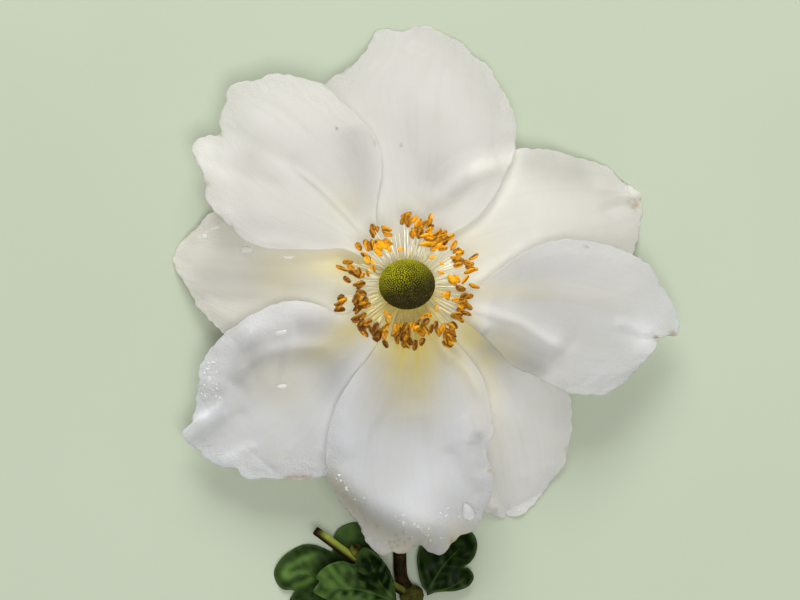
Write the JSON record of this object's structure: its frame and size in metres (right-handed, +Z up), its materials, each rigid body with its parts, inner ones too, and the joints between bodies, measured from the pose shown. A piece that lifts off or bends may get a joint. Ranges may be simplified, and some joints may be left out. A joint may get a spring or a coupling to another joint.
{
  "type": "japanese anemone flower",
  "caption": "Picked white Japanese anemone flower lying face up: broad overlapping petals round a ring of stamens and a green button, on a leafy cut stem.",
  "frame": {"origin": "middle of the box's bottom face, on the surface that the flower lies on", "axes": "+Z up from the surface, towards the viewer of the open flower; +Y from the cut end of the stem to the flower's top petal"},
  "size_m": [0.0712, 0.1208, 0.0188],
  "materials": {
    "petal": "living petal tissue, soft satin white, a little see-through",
    "carpels": "matt yellow-green carpels packed in a dome",
    "stamen": "powdery orange-yellow anthers on pale filaments",
    "stem": "green stem with a satin skin, brownish at the cut",
    "leaf": "dark green leaf with a soft sheen and sunk veins"
  },
  "bodies": {
    "root": {"petal_top": "petal", "petal_upper_left": "petal", "petal_upper_right": "petal", "petal_right": "petal", "petal_lower_right": "petal", "petal_bottom": "petal", "petal_lower_left": "petal", "petal_left": "petal", "carpel_button": "carpels", "stamens": "stamen", "stem": "stem", "leaf_right": "leaf", "leaf_front_left": "leaf", "leaf_back_left": "leaf"}
  },
  "joints": []
}
